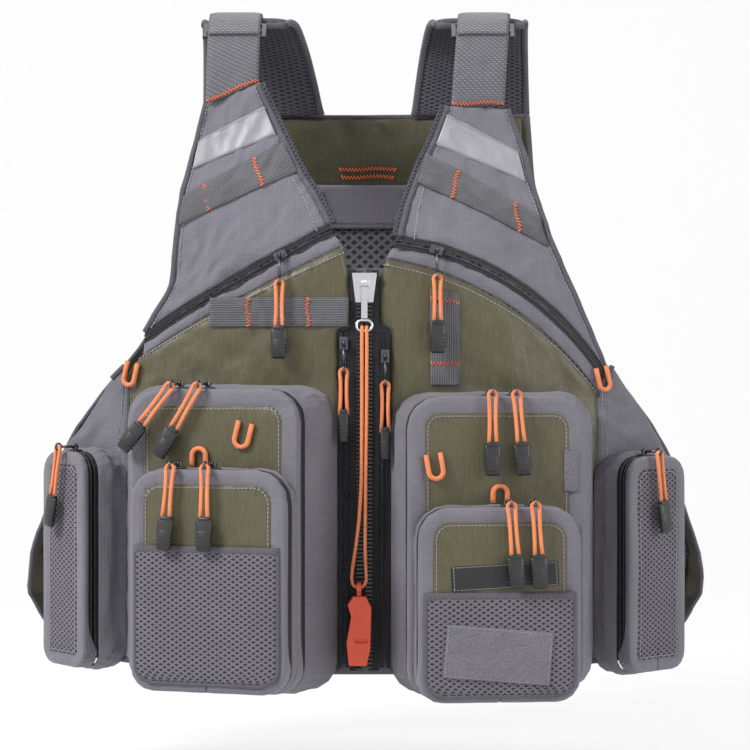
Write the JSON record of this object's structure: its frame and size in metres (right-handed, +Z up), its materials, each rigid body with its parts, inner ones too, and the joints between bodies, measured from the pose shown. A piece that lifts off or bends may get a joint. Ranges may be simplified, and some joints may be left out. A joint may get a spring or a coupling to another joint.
{
  "type": "fishing vest",
  "caption": "Fishing vest with webbing shoulder straps, zipped cargo pockets on both fronts, side mesh pockets, a front zip and a whistle on a lanyard.",
  "frame": {"origin": "middle of the hang loop at the back of the collar", "axes": "+Z up as worn, the front faces -Y, +X is the wearer's left"},
  "size_m": [0.6064, 0.2883, 0.5945],
  "materials": {
    "grey_fabric": "woven polyester, matt",
    "olive_fabric": "satin ripstop nylon",
    "webbing": "ribbed polypropylene webbing",
    "reflective": "grey reflective tape",
    "mesh": "knitted mesh",
    "orange_cord": "braided cord",
    "zip_tape": "woven zip tape and coil",
    "loop_pile": "loop pile",
    "label": "plain moulded label",
    "gunmetal": "dark plated zinc",
    "silver": "nickel plated zinc",
    "pull": "orange cord with moulded rubber grip",
    "whistle": "moulded, satin",
    "buckle": "moulded acetal",
    "spacer_mesh": "padded spacer mesh"
  },
  "bodies": {
    "root": {"back_panel": "olive_fabric", "back_lining": "mesh", "back_band": "grey_fabric", "back_yoke": "olive_fabric", "side_wings": "grey_fabric", "front_panel_left": "olive_fabric", "front_panel_right": "olive_fabric", "front_yoke_left": "grey_fabric", "front_yoke_right": "grey_fabric", "chest_bands": "grey_fabric", "shoulder_straps": "webbing", "shoulder_pads": "spacer_mesh", "strap_buckles": "buckle", "reflective_tapes": "reflective", "webbing_strips": "webbing", "gear_loops": "orange_cord", "hang_loop": "webbing", "big_pocket_gussets": "grey_fabric", "big_pocket_lids": "olive_fabric", "small_pocket_gussets": "grey_fabric", "small_pocket_lids": "olive_fabric", "side_pocket_gussets": "grey_fabric", "side_pocket_lids": "grey_fabric", "mesh_pockets": "mesh", "loop_patch": "loop_pile", "label_patch": "label", "front_zip": "zip_tape", "zip_tapes": "zip_tape"},
    "main_slider": {"main_slider": "silver"},
    "main_pull": {"main_pull": "silver"},
    "big_right_outer_slider": {"big_right_outer_slider": "gunmetal"},
    "big_right_outer_pull": {"big_right_outer_pull": "pull"},
    "big_right_inner_slider": {"big_right_inner_slider": "gunmetal"},
    "big_right_inner_pull": {"big_right_inner_pull": "pull"},
    "big_left_inner_slider": {"big_left_inner_slider": "gunmetal"},
    "big_left_inner_pull": {"big_left_inner_pull": "pull"},
    "big_left_outer_slider": {"big_left_outer_slider": "gunmetal"},
    "big_left_outer_pull": {"big_left_outer_pull": "pull"},
    "small_right_outer_slider": {"small_right_outer_slider": "gunmetal"},
    "small_right_outer_pull": {"small_right_outer_pull": "pull"},
    "small_right_inner_slider": {"small_right_inner_slider": "gunmetal"},
    "small_right_inner_pull": {"small_right_inner_pull": "pull"},
    "small_left_inner_slider": {"small_left_inner_slider": "gunmetal"},
    "small_left_inner_pull": {"small_left_inner_pull": "pull"},
    "small_left_outer_slider": {"small_left_outer_slider": "gunmetal"},
    "small_left_outer_pull": {"small_left_outer_pull": "pull"},
    "side_right_slider": {"side_right_slider": "gunmetal"},
    "side_right_pull": {"side_right_pull": "pull"},
    "side_left_slider": {"side_left_slider": "gunmetal"},
    "side_left_pull": {"side_left_pull": "pull"},
    "chest_right_slider": {"chest_right_slider": "gunmetal"},
    "chest_right_pull": {"chest_right_pull": "pull"},
    "chest_left_slider": {"chest_left_slider": "gunmetal"},
    "chest_left_pull": {"chest_left_pull": "pull"},
    "slit_right_slider": {"slit_right_slider": "gunmetal"},
    "slit_right_pull": {"slit_right_pull": "pull"},
    "slit_left_slider": {"slit_left_slider": "gunmetal"},
    "slit_left_pull": {"slit_left_pull": "pull"},
    "lanyard": {"lanyard_cord": "orange_cord", "whistle": "whistle"}
  },
  "joints": [
    {"name": "main_slide", "type": "slide", "parent": "root", "child": "main_slider", "axis": [0, 0, -1], "range_m": [0, 0.3]},
    {"name": "main_swing", "type": "hinge", "parent": "main_slider", "child": "main_pull", "pos_m": [0, -0.1791, -0.148], "axis": [-1, 0, 0], "range_deg": [0, 100]},
    {"name": "big_right_outer_slide", "type": "slide", "parent": "root", "child": "big_right_outer_slider", "axis": [-0.9613, 0.2756, 0], "range_m": [0, 0.009]},
    {"name": "big_right_outer_swing", "type": "hinge", "parent": "big_right_outer_slider", "child": "big_right_outer_pull", "pos_m": [-0.15484, -0.18512, -0.2324], "axis": [-0.9613, 0.2756, 0], "range_deg": [0, 110]},
    {"name": "big_right_inner_slide", "type": "slide", "parent": "root", "child": "big_right_inner_slider", "axis": [0.9613, -0.2756, 0], "range_m": [0, 0.05]},
    {"name": "big_right_inner_swing", "type": "hinge", "parent": "big_right_inner_slider", "child": "big_right_inner_pull", "pos_m": [-0.13176, -0.19173, -0.2324], "axis": [-0.9613, 0.2756, 0], "range_deg": [0, 110]},
    {"name": "big_left_inner_slide", "type": "slide", "parent": "root", "child": "big_left_inner_slider", "axis": [-0.9962, -0.0872, 0], "range_m": [0, 0.035]},
    {"name": "big_left_inner_swing", "type": "hinge", "parent": "big_left_inner_slider", "child": "big_left_inner_pull", "pos_m": [0.10425, -0.19713, -0.2384], "axis": [-0.9962, -0.0872, 0], "range_deg": [0, 110]},
    {"name": "big_left_outer_slide", "type": "slide", "parent": "root", "child": "big_left_outer_slider", "axis": [0.9962, 0.0872, 0], "range_m": [0, 0.027]},
    {"name": "big_left_outer_swing", "type": "hinge", "parent": "big_left_outer_slider", "child": "big_left_outer_pull", "pos_m": [0.12417, -0.19539, -0.2384], "axis": [-0.9962, -0.0872, 0], "range_deg": [0, 110]},
    {"name": "small_right_outer_slide", "type": "slide", "parent": "root", "child": "small_right_outer_slider", "axis": [-0.9613, 0.2756, 0], "range_m": [0, 0.008]},
    {"name": "small_right_outer_swing", "type": "hinge", "parent": "small_right_outer_slider", "child": "small_right_outer_pull", "pos_m": [-0.15319, -0.21929, -0.2984], "axis": [-0.9613, 0.2756, 0], "range_deg": [0, 110]},
    {"name": "small_right_inner_slide", "type": "slide", "parent": "root", "child": "small_right_inner_slider", "axis": [0.9613, -0.2756, 0], "range_m": [0, 0.034]},
    {"name": "small_right_inner_swing", "type": "hinge", "parent": "small_right_inner_slider", "child": "small_right_inner_pull", "pos_m": [-0.12435, -0.22756, -0.2984], "axis": [-0.9613, 0.2756, 0], "range_deg": [0, 110]},
    {"name": "small_left_inner_slide", "type": "slide", "parent": "root", "child": "small_left_inner_slider", "axis": [-0.9962, -0.0872, 0], "range_m": [0, 0.042]},
    {"name": "small_left_inner_swing", "type": "hinge", "parent": "small_left_inner_slider", "child": "small_left_inner_pull", "pos_m": [0.11803, -0.22845, -0.3289], "axis": [-0.9962, -0.0872, 0], "range_deg": [0, 110]},
    {"name": "small_left_outer_slide", "type": "slide", "parent": "root", "child": "small_left_outer_slider", "axis": [0.9962, 0.0872, 0], "range_m": [0, 0.008]},
    {"name": "small_left_outer_swing", "type": "hinge", "parent": "small_left_outer_slider", "child": "small_left_outer_pull", "pos_m": [0.13796, -0.2267, -0.3289], "axis": [-0.9962, -0.0872, 0], "range_deg": [0, 110]},
    {"name": "side_right_slide", "type": "slide", "parent": "root", "child": "side_right_slider", "axis": [-0.6428, 0.766, 0], "range_m": [0, 0.012]},
    {"name": "side_right_swing", "type": "hinge", "parent": "side_right_slider", "child": "side_right_pull", "pos_m": [-0.25123, -0.13243, -0.2869], "axis": [-0.6428, 0.766, 0], "range_deg": [0, 110]},
    {"name": "side_left_slide", "type": "slide", "parent": "root", "child": "side_left_slider", "axis": [0.766, 0.6428, 0], "range_m": [0, 0.016]},
    {"name": "side_left_swing", "type": "hinge", "parent": "side_left_slider", "child": "side_left_pull", "pos_m": [0.24234, -0.13834, -0.2909], "axis": [-0.766, -0.6428, 0], "range_deg": [0, 110]},
    {"name": "chest_right_slide", "type": "slide", "parent": "root", "child": "chest_right_slider", "axis": [-0.8753, 0.1107, -0.4707], "range_m": [0, 0.04466]},
    {"name": "chest_right_swing", "type": "hinge", "parent": "chest_right_slider", "child": "chest_right_pull", "pos_m": [-0.07181, -0.17331, -0.12321], "axis": [-0.9921, 0.1255, 0], "range_deg": [0, 120]},
    {"name": "chest_left_slide", "type": "slide", "parent": "root", "child": "chest_left_slider", "axis": [0.9517, 0.0785, -0.2967], "range_m": [0, 0.02001]},
    {"name": "chest_left_swing", "type": "hinge", "parent": "chest_left_slider", "child": "chest_left_pull", "pos_m": [0.06156, -0.174, -0.1186], "axis": [-0.9966, -0.0822, 0], "range_deg": [0, 120]},
    {"name": "slit_right_slide", "type": "slide", "parent": "root", "child": "slit_right_slider", "axis": [0, 0, -1], "range_m": [0, 0.09]},
    {"name": "slit_right_swing", "type": "hinge", "parent": "slit_right_slider", "child": "slit_right_pull", "pos_m": [-0.01753, -0.1766, -0.198], "axis": [-1, 0, 0], "range_deg": [0, 120]},
    {"name": "slit_left_slide", "type": "slide", "parent": "root", "child": "slit_left_slider", "axis": [0, 0, -1], "range_m": [0, 0.09]},
    {"name": "slit_left_swing", "type": "hinge", "parent": "slit_left_slider", "child": "slit_left_pull", "pos_m": [0.01753, -0.1766, -0.209], "axis": [-1, 0, 0], "range_deg": [0, 120]},
    {"name": "lanyard_swing", "type": "hinge", "parent": "main_pull", "child": "lanyard", "pos_m": [0, -0.18257, -0.18765], "axis": [-1, 0, 0], "range_deg": [-100, 0]}
  ],
  "couplings": [
    {"joint": "lanyard_swing", "follows": "main_swing", "ratio": -1}
  ]
}
